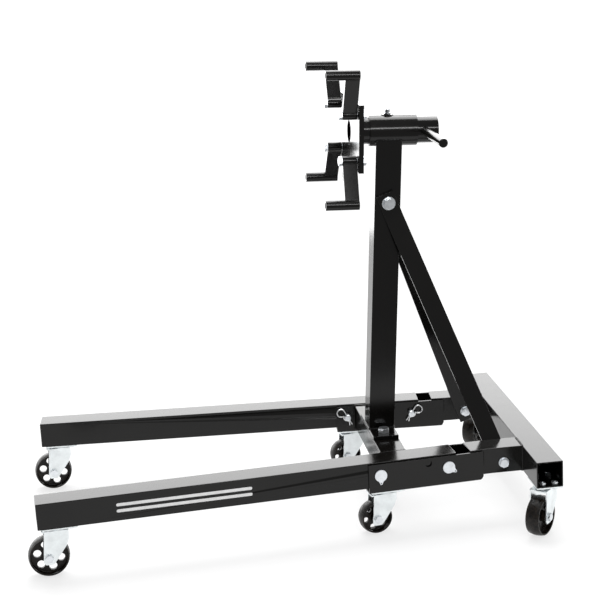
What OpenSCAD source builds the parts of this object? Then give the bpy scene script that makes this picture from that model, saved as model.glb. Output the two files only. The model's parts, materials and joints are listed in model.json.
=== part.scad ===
// Folding engine stand, in millimetres. +Z is up and the floor is z = 0.
// The origin is on the floor below the foot of the post. The long front legs run
// towards -X and the mounting head faces -X. The stand's left side is -Y.

/* [Frame tubes] */
// Outside width of the square tube in the post, legs and crossbars
tube_w = 60; // [56:1:64]
// Wall thickness of the square tube
tube_wall = 3; // [2:0.5:5]
// Height of the underside of the front legs and the rear crossbar
leg_z = 116; // [114:1:120]
// Length of the rear crossbar
rear_bar_len = 676; // [640:2:720]
// Distance from the post's foot to the middle of the rear crossbar
rear_bar_x = 319; // [300:1:330]

/* [Folding legs] */
// Angle by which each front leg and its channel splay outwards
splay = 4.4; // [3.5:0.1:5]
// Distance from the pivot pin to the front end of a leg
leg_reach = 922; // [850:1:960]
// Distance of the pivot pin behind the post's foot
pivot_x = 112; // [105:1:118]
// Distance of the pivot pin's middle from the centre plane
pivot_y = 199; // [195:1:205]
// Distance between the pivot pin and the lock pin
lock_gap = 158.5; // [150:0.5:165]

/* [Post and head] */
// Backward lean of the post
post_lean = 3.6; // [2:0.1:5]
// Tilt of the head sleeve's axis, the front end being the higher
head_tilt = 2.6; // [0:0.1:4]
// Height of the head sleeve's axis at the post
head_z = 882.5; // [860:0.5:910]
// Length of the head sleeve
sleeve_len = 110; // [100:1:120]
// Outside diameter of the head sleeve
sleeve_d = 70; // [68:1:76]
// Width of the mounting plate
plate_w = 270; // [250:1:290]
// Height of the mounting plate
plate_h = 150; // [140:1:160]
// Length of the turning bar
bar_len = 430; // [380:5:460]

/* [Engine arms] */
// Distance from an arm's pivot to its finger
arm_len = 100; // [95:1:105]
// Lean of the left arms from upright, outwards
left_arm_lean = 24.3; // [0:0.1:36]
// Lean of the right arms from upright, outwards
right_arm_lean = 36.2; // [0:0.1:36.5]
// Length of a finger tube
finger_len = 75.5; // [60:0.5:90]

/* [Casters] */
// Diameter of the front and rear wheels
wheel_d = 91; // [86:1:94]
// Diameter of the middle wheels
mid_wheel_d = 76; // [74:1:82]
// Width of every wheel
wheel_w = 32; // [28:1:33]
// Swivel angle of the front casters at rest
front_yaw = 4; // [0:1:360]
// Swivel angle of the middle casters at rest
mid_yaw = 10; // [0:1:360]
// Swivel angle of the rear casters at rest
rear_yaw = 48; // [0:1:360]

/* [Hidden] */
$fn = 96;
cut = 1;                       // how far a cutting shape passes the face it cuts
hole_play = 0.2;               // radial clearance of a fastener in a drilled hole
turn_play = 0.08;              // radial clearance of a part that turns in another
seat_play = 0.05;              // radial clearance of a part that is fixed in another
half = tube_w / 2;
axis_z = leg_z + half;         // height of the legs' centre line and of the pins
rear_bar_front = rear_bar_x - half;

// Side channels: an open-topped U of plate, in which the leg and the rear stub lie
channel_gap = tube_w + 0.8;
channel_wall = 4;
channel_z = leg_z - 12;
channel_h = 68.5;
channel_front = -186;          // measured from the pivot pin, along the leg
channel_back = 82;
channel_out = channel_gap / 2 + channel_wall;
channel_chamfer = [5.5, 10];   // cut off the lower back corner, length and height
stop_hole = [-47, 14.5];         // spare hole for the lock pin when the leg is up

// Rear stubs: a mitred tube from inside the channel to the rear crossbar
leg_tail = 20;
stub_front = 53;
stub_bend = 103;
stub_y = pivot_y - stub_bend * sin(splay);
stub_bend_x = pivot_x + stub_bend * cos(splay);

// Middle crossbar and the post's foot
mid_bar_z = channel_z + channel_h - tube_w;
mid_bar_reach = pivot_y - channel_out;
foot_len = 172;
foot_t = 8;
foot_z = mid_bar_z + tube_w;
foot_bolt_y = 56;
foot_bolt_r = 8;
post_base_z = foot_z + foot_t;

// Head: its own frame has +X along the sleeve, towards the turning bar
head_x = (head_z - post_base_z) * tan(post_lean);
sleeve_r = sleeve_d / 2;
spindle_r = 30;
spindle_bore_r = 25;
sleeve_front = -44;
plate_front = -87.5;
plate_t = 11;
spindle_back = 114;
bar_r = 10;
bar_at = 83;
arm_pivot = [106, 51];
arm_bolt_r = 6;
lock_bolt_r = 4.9;
lock_head_flats = 10.5;        // across the flats of its small hexagonal head
lock_nut_flats = 15;
lock_nut_h = 4;
boss_r = 12.5;
boss_top = sleeve_r + 1.5;
lock_nut_z = boss_top + 0.1;

// Arms: the arm's own frame has its pivot at the origin and its finger at +Z
arm_deep = 32;
arm_thick = 15;
arm_tube_r = 11;
arm_bore_r = 6.6;
arm_mid = plate_front - 1 - arm_deep / 2;

// Braces: flat bars from the post's sides to the inner sides of the rear stubs
brace_w = 42;
brace_t = 8;
brace_top = [35, 721];
brace_foot = [245, 140];
brace_run = brace_foot - brace_top;
brace_len = norm(brace_run);
brace_angle = atan2(-brace_run.y, brace_run.x);
brace_bolt_r = 7;
rail_bolt_r = 6;
brace_inner = half;
brace_outer = stub_y - half - brace_t;

// Pins and clips
pin_r = 8;
pin_bore_r = 8.06;
pin_head_r = 14;
pin_head_t = 3;
pin_tab_at = 18;               // middle of the tab's rounded end, from the pin's axis
pin_tab_r = 3.2;
pin_tab_root = [11, 6.8];      // where the tab's side leaves the round head
pin_inner = channel_out + 16;
clip_hole_r = 1.9;
clip_r = 1.6;
clip_at = channel_out + 7;
clip_sides = 8;
lock_clip_angle = 118;
pivot_clip_angle = 55;
lock_head_angle = -90;
pivot_head_angle = -35;

// Casters
caster_h = leg_z;
mid_caster_h = channel_z;
trail = 28;
mid_trail = 26;
caster_plate_t = 3;
caster_plate_size = [76, 60];
caster_holes = [26, 14];
caster_bolt_r = 4;
fork_t = 3;
fork_gap = wheel_w + 4;
race_r = 19;                   // upper race, under the plate
race_h = 3.5;
crown_r = 21;                  // lower race, on the fork
crown_drop = 5.5;              // from the plate to the fork's crown
kingpin_r = 6;
kingpin_head_r = 9.5;
kingpin_len = 11;
axle_r = 5;
hub_r = 12;
web_t = 6;                     // thickness of a wheel's web
rim_depth = 6;                 // from the tread in to the web
web_hole = [8.9, 26];          // radius of a web hole, and its distance from the axle
mid_web_hole = [6.2, 24];
web_turn = 45;                 // angle of the first web hole at rest
mid_web_turn = 12;
leg_caster = -874;             // measured from the pivot pin, along the leg
mid_caster = -141.5;
rear_caster_y = rear_bar_len / 2 - 38;

// ---- Frames of reference ----

// Shapes are drawn for the right side, with +Y outwards, and mirrored for the left
module on_side(side) {
    if (side > 0) children();
    else mirror([0, 1, 0]) children();
}

// The frame of one side's leg: origin at the pivot pin, -X along the leg
module on_leg(side) {
    on_side(side)
        translate([pivot_x, pivot_y, axis_z])
            rotate([0, 0, -splay])
                children();
}

// The head's frame: origin where the sleeve's axis crosses the post
module on_head() {
    translate([head_x, 0, head_z])
        rotate([0, head_tilt, 0])
            children();
}

// The frame of one arm: pivot at the origin and finger at +Z. up and side are 1 or -1
module on_arm(up, side, lean) {
    on_head()
        translate([arm_mid, side * arm_pivot.x, up * arm_pivot.y])
            rotate([up > 0 ? -side * lean : 180 + side * lean, 0, 0])
                children();
}

// The frames of the caster plates: origin on the floor, the plate's length along X
module at_leg_caster(side) {
    on_leg(side)
        translate([leg_caster, 0, -axis_z])
            children();
}

module at_mid_caster(side) {
    on_leg(side)
        translate([mid_caster, 0, -axis_z])
            children();
}

module at_rear_caster(side) {
    translate([rear_bar_x, side * rear_caster_y, 0])
        rotate([0, 0, 90])
            children();
}

// A caster's own frame: origin on the floor below the kingpin, wheel towards -X
module swivelled(place, yaw) {
    translate([place.x, place.y, 0])
        rotate([0, 0, yaw])
            children();
}

// ---- Shapes that repeat ----

// A square tube along X from x0 to x1, centred on the axis
module square_tube(x0, x1) {
    inner = tube_w - 2 * tube_wall;
    difference() {
        translate([x0, -half, -half])
            cube([x1 - x0, tube_w, tube_w]);
        translate([x0 - cut, -inner / 2, -inner / 2])
            cube([x1 - x0 + 2 * cut, inner, inner]);
    }
}

// A cylinder along Y from y0 to y1
module y_rod(r, y0, y1) {
    translate([0, y0, 0])
        rotate([-90, 0, 0])
            cylinder(r = r, h = y1 - y0);
}

// A cylinder along X from x0 to x1
module x_rod(r, x0, x1) {
    translate([x0, 0, 0])
        rotate([0, 90, 0])
            cylinder(r = r, h = x1 - x0);
}

// A hexagonal prism of the given width across flats, from z0 to z1
module hex(flats, z0, z1) {
    translate([0, 0, z0])
        cylinder(r = flats / sqrt(3), h = z1 - z0, $fn = 6);
}

// Width across flats of the hexagon on a bolt of radius r
function flats_of(r) = lookup(r, [[4, 13], [5, 16], [6, 19], [7, 22], [8, 24]]);

// A bolt along Z gripping from 0 to grip, with its head above and its nut below
module bolt_and_nut(r, grip, washer_r = 0, washer_t = 0) {
    head_h = 1.25 * r;
    nut_h = 1.6 * r;
    tip = 1.2;
    flats = flats_of(r);
    union() {
        translate([0, 0, -washer_t - nut_h - tip])
            cylinder(r = r, h = grip + 2 * washer_t + nut_h + tip);
        if (washer_t > 0) translate([0, 0, grip])
            cylinder(r = washer_r, h = washer_t);
        hex(flats, grip + washer_t, grip + washer_t + head_h);
    }
    difference() {
        union() {
            hex(flats, -washer_t - nut_h, -washer_t);
            if (washer_t > 0) translate([0, 0, -washer_t])
                cylinder(r = washer_r, h = washer_t);
        }
        translate([0, 0, -washer_t - nut_h - cut])
            cylinder(r = r + seat_play, h = washer_t + nut_h + 2 * cut);
    }
}

// ---- Base frame ----

module rear_crossbar() {
    color("#1c1a19") difference() {
        translate([rear_bar_x, 0, axis_z])
            rotate([0, 0, 90])
                square_tube(-rear_bar_len / 2, rear_bar_len / 2);
        for (side = [-1, 1]) at_rear_caster(side)
            caster_bolt_holes(caster_h, tube_wall);
    }
}

// A short tube, mitred where it turns from the channel's line to straight back
module rear_stub(side) {
    color("#1c1a19") on_side(side) difference() {
        stub_solid(tube_w);
        stub_solid(tube_w - 2 * tube_wall, cut);
        translate([brace_foot.x, stub_y, brace_foot.y])
            y_rod(rail_bolt_r + hole_play, -half - cut, half + cut);
    }
}

// The solid that a square section of the given width sweeps along the stub
module stub_solid(width, extra = 0) {
    w = width / 2;
    along = [cos(splay), -sin(splay)];
    across = [sin(splay), cos(splay)];
    mitre = [tan(splay / 2), 1];
    start = [pivot_x, pivot_y] + (stub_front - extra) * along;
    bend = [stub_bend_x, stub_y];
    back = [rear_bar_front + extra, stub_y];
    translate([0, 0, axis_z - w])
        linear_extrude(width)
            polygon([start + w * across, bend + w * mitre, back + [0, w],
                     back - [0, w], bend - w * mitre, start - w * across]);
}

module side_channel(side) {
    low = channel_z - axis_z;
    corner = channel_chamfer;
    color("#1c1a19") on_leg(side) difference() {
        translate([channel_front, -channel_out, low])
            cube([channel_back - channel_front, 2 * channel_out, channel_h]);
        translate([channel_front - cut, -channel_gap / 2, low + channel_wall])
            cube([channel_back - channel_front + 2 * cut, channel_gap, channel_h]);
        y_rod(pin_bore_r, -channel_out - cut, channel_out + cut);
        translate([-lock_gap, 0, 0])
            y_rod(pin_bore_r, -channel_out - cut, channel_out + cut);
        translate([stop_hole.x, 0, stop_hole.y])
            y_rod(pin_bore_r, -channel_out - cut, channel_out + cut);
        translate([mid_caster, 0, -axis_z])
            caster_bolt_holes(mid_caster_h, channel_wall);
        translate([channel_back, channel_out + cut, low])
            rotate([90, 0, 0])
                linear_extrude(2 * (channel_out + cut))
                    polygon([-[2 * corner.x, corner.y], [corner.x, 2 * corner.y],
                             [corner.x, -corner.y]]);
    }
}

// Its ends are cut to the splay of the channels' inner plates
module mid_crossbar() {
    color("#1c1a19") difference() {
        translate([0, 0, mid_bar_z + half])
            rotate([0, 0, 90])
                square_tube(-pivot_y, pivot_y);
        for (side = [-1, 1]) on_leg(side)
            translate([-pivot_x - tube_w, -channel_out, -tube_w])
                cube([2 * tube_w, tube_w, 2 * tube_w]);
        for (side = [-1, 1]) translate([0, side * foot_bolt_y, mid_bar_z - cut])
            cylinder(r = foot_bolt_r + hole_play, h = tube_w + 2 * cut);
    }
}

// The post leans back, stands flat on its foot and is cut to fit under the sleeve
module post() {
    post_top = head_z - sqrt(pow(sleeve_r, 2) - pow(half, 2));
    color("#1c1a19") difference() {
        intersection() {
            translate([0, 0, post_base_z])
                rotate([0, post_lean, 0])
                    rotate([0, -90, 0])
                        square_tube(-tube_w, head_z);
            translate([-tube_w, -tube_w, post_base_z])
                cube([3 * tube_w, 2 * tube_w, post_top - post_base_z]);
        }
        on_head()
            x_rod(sleeve_r + seat_play, -2 * tube_w, 2 * tube_w);
        translate([brace_top.x, 0, brace_top.y])
            y_rod(brace_bolt_r + hole_play, -half - cut, half + cut);
    }
}

module post_foot() {
    color("#1c1a19") difference() {
        translate([-half, -foot_len / 2, foot_z])
            cube([tube_w, foot_len, foot_t]);
        for (side = [-1, 1]) translate([0, side * foot_bolt_y, foot_z - cut])
            cylinder(r = foot_bolt_r + hole_play, h = foot_t + 2 * cut);
    }
}

module post_foot_bolts() {
    color("#c9ccd0") for (side = [-1, 1])
        translate([0, side * foot_bolt_y, mid_bar_z])
            bolt_and_nut(foot_bolt_r, tube_w + foot_t);
}

// A flat bar, set flat against the post above and the rear stub below
module brace(side) {
    lap = 24;
    bend_top = 36;
    bend_foot = brace_len - 36;
    inner = [[-lap, brace_inner], [bend_top, brace_inner],
             [bend_foot, brace_outer], [brace_len + lap, brace_outer]];
    outer = [for (i = [3:-1:0]) inner[i] + [0, brace_t]];
    color("#1c1a19") on_side(side) difference() {
        translate([brace_top.x, 0, brace_top.y])
            rotate([0, brace_angle, 0])
                linear_extrude(brace_w, center = true)
                    polygon(concat(inner, outer));
        translate([brace_top.x, 0, brace_top.y])
            y_rod(brace_bolt_r + hole_play, 0, tube_w);
        translate([brace_foot.x, brace_outer, brace_foot.y])
            y_rod(rail_bolt_r + hole_play, -brace_t, 2 * brace_t);
    }
}

module brace_top_bolt() {
    color("#c9ccd0")
        translate([brace_top.x, brace_inner + brace_t, brace_top.y])
            rotate([90, 0, 0])
                bolt_and_nut(brace_bolt_r, 2 * (brace_inner + brace_t), 15.5, 2);
}

module brace_foot_bolts() {
    color("#c9ccd0") for (side = [-1, 1]) on_side(side)
        translate([brace_foot.x, brace_outer, brace_foot.y])
            rotate([-90, 0, 0])
                bolt_and_nut(rail_bolt_r, tube_w + brace_t, 12, 2);
}

// ---- Head sleeve and its lock ----

module head_sleeve() {
    color("#1c1a19") on_head() difference() {
        x_rod(sleeve_r, sleeve_front, sleeve_front + sleeve_len);
        x_rod(spindle_r + turn_play, sleeve_front - cut, sleeve_front + sleeve_len + cut);
        cylinder(r = lock_bolt_r + hole_play, h = sleeve_d);
    }
}

// A round boss welded on the sleeve, threaded for the lock bolt
module lock_boss() {
    color("#1c1a19") on_head() difference() {
        cylinder(r = boss_r, h = boss_top);
        x_rod(sleeve_r + seat_play, -sleeve_r, sleeve_r);
        cylinder(r = lock_bolt_r + turn_play, h = sleeve_d);
    }
}

module lock_nut() {
    color("#c9ccd0") on_head() difference() {
        hex(lock_nut_flats, lock_nut_z, lock_nut_z + lock_nut_h);
        cylinder(r = lock_bolt_r + turn_play, h = sleeve_d);
    }
}

// Its tip stands just clear of the turning spindle
module lock_bolt() {
    tip_z = spindle_r + 0.4;
    head_low = lock_nut_z + lock_nut_h + 0.3;
    head_high = sleeve_r + 14;
    color("#c9ccd0") on_head() {
        translate([0, 0, tip_z])
            cylinder(r = lock_bolt_r, h = head_low + cut - tip_z);
        hex(lock_head_flats, head_low, head_high);
    }
}

// ---- Turning head ----

module spindle() {
    color("#1c1a19") on_head() difference() {
        x_rod(spindle_r, plate_front, spindle_back);
        x_rod(spindle_bore_r, plate_front - cut, spindle_back + cut);
        translate([bar_at, 0, 0])
            y_rod(bar_r + turn_play, -spindle_r - cut, spindle_r + cut);
    }
}

module mounting_plate() {
    color("#1c1a19") on_head() difference() {
        translate([plate_front, -plate_w / 2, -plate_h / 2])
            cube([plate_t, plate_w, plate_h]);
        x_rod(spindle_r + seat_play, plate_front - cut, plate_front + plate_t + cut);
        for (y = [-1, 1], z = [-1, 1])
            translate([0, y * arm_pivot.x, z * arm_pivot.y])
                x_rod(arm_bolt_r + hole_play, plate_front - cut, plate_front + plate_t + cut);
    }
}

module arm_pivot_bolts() {
    color("#c9ccd0") on_head()
        for (y = [-1, 1], z = [-1, 1])
            translate([plate_front + plate_t, y * arm_pivot.x, z * arm_pivot.y])
                rotate([0, -90, 0])
                    bolt_and_nut(arm_bolt_r, plate_t + arm_deep + 1.6);
}

// A round bar with chamfered ends
module turning_bar() {
    chamfer = 1.5;
    end = bar_len / 2;
    color("#1c1a19") on_head() translate([bar_at, 0, 0])
        rotate([-90, 0, 0])
            rotate_extrude()
                polygon([[0, -end], [bar_r - chamfer, -end], [bar_r, chamfer - end],
                         [bar_r, end - chamfer], [bar_r - chamfer, end], [0, end]]);
}

// A pivot tube, a flat bar and a finger tube, welded together
module arm(up, side, lean) {
    back = arm_deep / 2;
    color("#1c1a19") on_arm(up, side, lean) difference() {
        union() {
            x_rod(arm_tube_r, -back, back);
            translate([-back, -arm_thick / 2, 0])
                cube([arm_deep, arm_thick, arm_len]);
            translate([0, 0, arm_len])
                x_rod(arm_tube_r, back - finger_len, back);
        }
        x_rod(arm_bolt_r + turn_play, -back - cut, back + cut);
        translate([0, 0, arm_len])
            x_rod(arm_bore_r, back - finger_len - cut, back + cut);
    }
}

// ---- Folding legs ----

module leg_tube(side) {
    color("#1c1a19") on_leg(side) difference() {
        square_tube(-leg_reach, leg_tail);
        y_rod(pin_bore_r, -half - cut, half + cut);
        translate([-lock_gap, 0, 0])
            y_rod(pin_bore_r, -half - cut, half + cut);
        translate([leg_caster, 0, -axis_z])
            caster_bolt_holes(caster_h, tube_wall);
    }
}

// The outline of a pin's head: a disc with a small pierced tab along +X
module pin_head_outline() {
    tab_side = 0.95 * pin_tab_r;
    difference() {
        union() {
            circle(r = pin_head_r);
            translate([pin_tab_at, 0]) circle(r = pin_tab_r);
            polygon([[pin_tab_root.x, -pin_tab_root.y], [pin_tab_at, -tab_side],
                     [pin_tab_at, tab_side], [pin_tab_root.x, pin_tab_root.y]]);
        }
        translate([pin_tab_at, 0]) circle(r = pin_tab_r / 2);
    }
}

// A hitch pin whose flat head has its tab along head_angle and a hole for the clip
module hitch_pin(head_angle, clip_angle) {
    color("#c9ccd0") difference() {
        union() {
            y_rod(pin_r, -pin_inner, channel_out + cut);
            translate([0, channel_out + 0.2, 0])
                rotate([-90, 0, 0])
                    rotate([0, 0, -head_angle])
                        linear_extrude(pin_head_t) pin_head_outline();
        }
        translate([0, -clip_at, 0])
            rotate([0, -clip_angle, 0])
                x_rod(clip_hole_r, -2 * pin_r, 2 * pin_r);
    }
}

// The wire of a spring clip: a straight leg, an eye, and a leg humped over the pin
CLIP_LINE = [[-22, 0], [14, 0], [28, 0], [28, 20], [8, 20], [7, 8.4], [0, 11],
             [-7, 8.4], [-11, 2.5], [-21, 5]];

function halved(p) = concat(
    [p[0]],
    [for (i = [0:len(p) - 2], t = [0.25, 0.75]) p[i] * (1 - t) + p[i + 1] * t],
    [p[len(p) - 1]]
);
function heading(p, i) =
    let(d = p[min(i + 1, len(p) - 1)] - p[max(i - 1, 0)]) d / norm(d);
function wire_ring(p, i) =
    let(h = heading(p, i))
    [for (k = [0:clip_sides - 1])
        let(a = 360 * k / clip_sides)
        [p[i].x - h.y * clip_r * cos(a), clip_r * sin(a), p[i].y + h.x * clip_r * cos(a)]];

module spring_clip(flip) {
    path = halved(halved(CLIP_LINE));
    last = len(path) - 1;
    n = clip_sides;
    color("#d4d7da") scale([1, 1, flip])
        polyhedron(
            points = [for (i = [0:last]) each wire_ring(path, i)],
            faces = concat(
                [[for (k = [0:n - 1]) k]],
                [for (i = [0:last - 1], k = [0:n - 1])
                    [i * n + k, (i + 1) * n + k, (i + 1) * n + (k + 1) % n,
                     i * n + (k + 1) % n]],
                [[for (k = [n - 1:-1:0]) last * n + k]]
            )
        );
}

module lock_pin(side) {
    on_leg(side) translate([-lock_gap, 0, 0])
        hitch_pin(lock_head_angle, lock_clip_angle);
}

module pivot_pin(side) {
    on_leg(side)
        hitch_pin(pivot_head_angle, pivot_clip_angle);
}

module lock_clip(side) {
    on_leg(side) translate([-lock_gap, -clip_at, 0])
        rotate([0, -lock_clip_angle, 0])
            spring_clip(1);
}

module pivot_clip(side) {
    on_leg(side) translate([0, -clip_at, 0])
        rotate([0, -pivot_clip_angle, 0])
            spring_clip(-1);
}

// ---- Casters ----

module caster_bolt_holes(height, wall) {
    for (x = [-1, 1], y = [-1, 1])
        translate([x * caster_holes.x, y * caster_holes.y, height - cut])
            cylinder(r = caster_bolt_r + hole_play, h = wall + 2 * cut);
}

// The top plate with its raceway and kingpin
module caster_plate(height) {
    under = height - caster_plate_t;
    kingpin_head_h = 3.2;
    difference() {
        union() {
            translate([-caster_plate_size.x / 2, -caster_plate_size.y / 2, under])
                cube([caster_plate_size.x, caster_plate_size.y, caster_plate_t]);
            translate([0, 0, under - race_h])
                cylinder(r = race_r, h = race_h + cut);
            translate([0, 0, under - kingpin_len])
                cylinder(r = kingpin_r, h = kingpin_len + cut);
            translate([0, 0, under - kingpin_len - 1])
                cylinder(r = kingpin_head_r, h = kingpin_head_h);
        }
        translate([0, 0, -caster_plate_t - cut])
            caster_bolt_holes(height, caster_plate_t + cut);
    }
}

module caster_bolts(height, wall) {
    for (x = [-1, 1], y = [-1, 1])
        translate([x * caster_holes.x, y * caster_holes.y, height + wall])
            rotate([180, 0, 0])
                bolt_and_nut(caster_bolt_r, wall + caster_plate_t);
}

// Two side plates under a crown with the lower race
module fork(height, wheel, reach) {
    top = height - caster_plate_t - crown_drop;
    axle_z = wheel / 2;
    rise = top - axle_z;
    cheek = [[-13, -9], [-8, -15], [8, -15], [13, -10], [40, 27], [46, 44],
             [46, rise], [-7, rise]];
    color("#d0d3d6") difference() {
        union() {
            for (y = [-fork_gap / 2 - fork_t, fork_gap / 2])
                translate([-reach, y + fork_t, axle_z])
                    rotate([90, 0, 0])
                        linear_extrude(fork_t)
                            polygon(cheek);
            translate([-reach - 13, -fork_gap / 2 - 1, top - 3])
                cube([59, fork_gap + 2, 3]);
            translate([0, 0, top - 3])
                cylinder(r = crown_r, h = 4.6);
        }
        translate([0, 0, top - 4])
            cylinder(r = kingpin_r + turn_play, h = 8);
        translate([-reach, 0, axle_z])
            y_rod(axle_r + seat_play, -wheel_w, wheel_w);
    }
}

module axle(wheel, reach) {
    outer = fork_gap / 2 + fork_t;
    color("#c9ccd0") translate([-reach, outer, wheel / 2])
        rotate([90, 0, 0])
            bolt_and_nut(axle_r, 2 * outer);
}

// A moulded wheel with a crowned tread and six round holes through its web
module wheel(diameter, reach, hole, turn) {
    r = diameter / 2;
    w = wheel_w / 2;
    hub = fork_gap / 2 - 0.5;
    web = web_t / 2;
    bore = axle_r + turn_play;
    rim_r = r - rim_depth;
    color("#171717") translate([-reach, 0, r])
        rotate([90, 0, 0])
            difference() {
                rotate_extrude() polygon([
                    [bore, -hub], [hub_r, -hub], [hub_r, -web],
                    [rim_r, -web], [rim_r + 1, -w], [r - 3, -w], [r - 2, 1.5 - w],
                    [r, -5], [r, 5], [r - 2, w - 1.5], [r - 3, w],
                    [rim_r + 1, w], [rim_r, web], [hub_r, web], [hub_r, hub],
                    [bore, hub]
                ]);
                for (i = [0:5]) rotate([0, 0, 60 * i + turn])
                    translate([hole[1], 0, -w])
                        cylinder(r = hole[0], h = wheel_w);
            }
}

function leg_point(side, along) = [
    pivot_x + along * cos(splay), side * (pivot_y - along * sin(splay))
];
function front_place(side) = leg_point(side, leg_caster);
function mid_place(side) = leg_point(side, mid_caster);
function rear_place(side) = [rear_bar_x, side * rear_caster_y];

module rear_caster_plates() {
    color("#d0d3d6") for (side = [-1, 1]) at_rear_caster(side)
        caster_plate(caster_h);
}

module mid_caster_plates() {
    color("#d0d3d6") for (side = [-1, 1]) at_mid_caster(side)
        caster_plate(mid_caster_h);
}

module base_caster_bolts() {
    color("#c9ccd0") for (side = [-1, 1]) {
        at_rear_caster(side)
            caster_bolts(caster_h, tube_wall);
        at_mid_caster(side)
            caster_bolts(mid_caster_h, channel_wall);
    }
}

module leg_caster_plate(side) {
    color("#d0d3d6") at_leg_caster(side)
        caster_plate(caster_h);
}

module leg_caster_bolts(side) {
    color("#c9ccd0") at_leg_caster(side)
        caster_bolts(caster_h, tube_wall);
}

module front_fork(side) {
    swivelled(front_place(side), front_yaw)
        fork(caster_h, wheel_d, trail);
}

module mid_fork(side) {
    swivelled(mid_place(side), mid_yaw)
        fork(mid_caster_h, mid_wheel_d, mid_trail);
}

module rear_fork(side) {
    swivelled(rear_place(side), rear_yaw)
        fork(caster_h, wheel_d, trail);
}

module front_axle(side) {
    swivelled(front_place(side), front_yaw)
        axle(wheel_d, trail);
}

module mid_axle(side) {
    swivelled(mid_place(side), mid_yaw)
        axle(mid_wheel_d, mid_trail);
}

module rear_axle(side) {
    swivelled(rear_place(side), rear_yaw)
        axle(wheel_d, trail);
}

module front_wheel(side) {
    swivelled(front_place(side), front_yaw)
        wheel(wheel_d, trail, web_hole, web_turn);
}

module mid_wheel(side) {
    swivelled(mid_place(side), mid_yaw)
        wheel(mid_wheel_d, mid_trail, mid_web_hole, mid_web_turn);
}

module rear_wheel(side) {
    swivelled(rear_place(side), rear_yaw)
        wheel(wheel_d, trail, web_hole, web_turn);
}

// ---- One line for each node ----

rear_crossbar();
rear_stub(-1);  // rear_stub_left
rear_stub(1);  // rear_stub_right
side_channel(-1);  // side_channel_left
side_channel(1);  // side_channel_right
mid_crossbar();
post();
post_foot();
post_foot_bolts();
head_sleeve();
lock_boss();
lock_nut();
brace(-1);  // brace_left
brace(1);  // brace_right
brace_top_bolt();
brace_foot_bolts();
rear_caster_plates();
mid_caster_plates();
base_caster_bolts();
leg_tube(-1);  // leg_tube_left
leg_tube(1);  // leg_tube_right
leg_caster_plate(-1);  // leg_caster_plate_left
leg_caster_plate(1);  // leg_caster_plate_right
leg_caster_bolts(-1);  // leg_caster_bolts_left
leg_caster_bolts(1);  // leg_caster_bolts_right
lock_bolt();
spindle();
mounting_plate();
arm_pivot_bolts();
turning_bar();
arm(1, -1, left_arm_lean);  // arm_upper_left
arm(1, 1, right_arm_lean);  // arm_upper_right
arm(-1, -1, left_arm_lean);  // arm_lower_left
arm(-1, 1, right_arm_lean);  // arm_lower_right
lock_pin(-1);  // lock_pin_left
lock_pin(1);  // lock_pin_right
pivot_pin(-1);  // pivot_pin_left
pivot_pin(1);  // pivot_pin_right
lock_clip(-1);  // lock_clip_left
lock_clip(1);  // lock_clip_right
pivot_clip(-1);  // pivot_clip_left
pivot_clip(1);  // pivot_clip_right
front_fork(-1);  // fork_front_left
front_fork(1);  // fork_front_right
mid_fork(-1);  // fork_mid_left
mid_fork(1);  // fork_mid_right
rear_fork(-1);  // fork_rear_left
rear_fork(1);  // fork_rear_right
front_axle(-1);  // axle_front_left
front_axle(1);  // axle_front_right
mid_axle(-1);  // axle_mid_left
mid_axle(1);  // axle_mid_right
rear_axle(-1);  // axle_rear_left
rear_axle(1);  // axle_rear_right
front_wheel(-1);  // wheel_front_left
front_wheel(1);  // wheel_front_right
mid_wheel(-1);  // wheel_mid_left
mid_wheel(1);  // wheel_mid_right
rear_wheel(-1);  // wheel_rear_left
rear_wheel(1);  // wheel_rear_right
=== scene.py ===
import json
import math
import random

import bmesh
import bpy
from mathutils import Matrix, Vector

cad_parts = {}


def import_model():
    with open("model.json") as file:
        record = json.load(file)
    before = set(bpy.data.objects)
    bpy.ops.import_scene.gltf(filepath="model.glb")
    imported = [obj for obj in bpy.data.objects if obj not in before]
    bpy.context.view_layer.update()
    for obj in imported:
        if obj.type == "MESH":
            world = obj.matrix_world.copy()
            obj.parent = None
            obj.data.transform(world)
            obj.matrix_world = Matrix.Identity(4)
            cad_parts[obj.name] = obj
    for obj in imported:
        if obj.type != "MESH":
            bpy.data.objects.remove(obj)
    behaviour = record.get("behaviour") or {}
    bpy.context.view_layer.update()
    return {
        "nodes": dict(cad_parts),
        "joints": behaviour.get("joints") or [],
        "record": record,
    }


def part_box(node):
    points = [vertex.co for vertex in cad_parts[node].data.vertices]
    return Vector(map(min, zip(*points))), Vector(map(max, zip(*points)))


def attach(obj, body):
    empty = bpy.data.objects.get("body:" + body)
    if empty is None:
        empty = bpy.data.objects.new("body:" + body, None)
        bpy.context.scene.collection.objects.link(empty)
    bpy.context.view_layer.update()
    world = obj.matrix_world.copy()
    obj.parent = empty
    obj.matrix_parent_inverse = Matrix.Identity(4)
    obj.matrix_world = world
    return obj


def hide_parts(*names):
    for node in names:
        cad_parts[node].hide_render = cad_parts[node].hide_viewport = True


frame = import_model()

# The looks of a folding engine stand: glossy black square tube, bright zinc hardware
# and black moulded wheels. All lengths are in metres, in the frame of the CAD model.

SIDES = {"left": -1, "right": 1}  # the sign of each side's Y
LEVELS = ("upper", "lower")
CASTERS = ("front", "mid", "rear")
JOINTS = {joint["name"]: joint for joint in frame["joints"]}
BODY_OF = {
    node: body
    for body, nodes in frame["record"]["behaviour"]["bodies"].items()
    for node in nodes
}
MM = 0.001
UP = Vector((0, 0, 1))
DOWN = -UP

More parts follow.
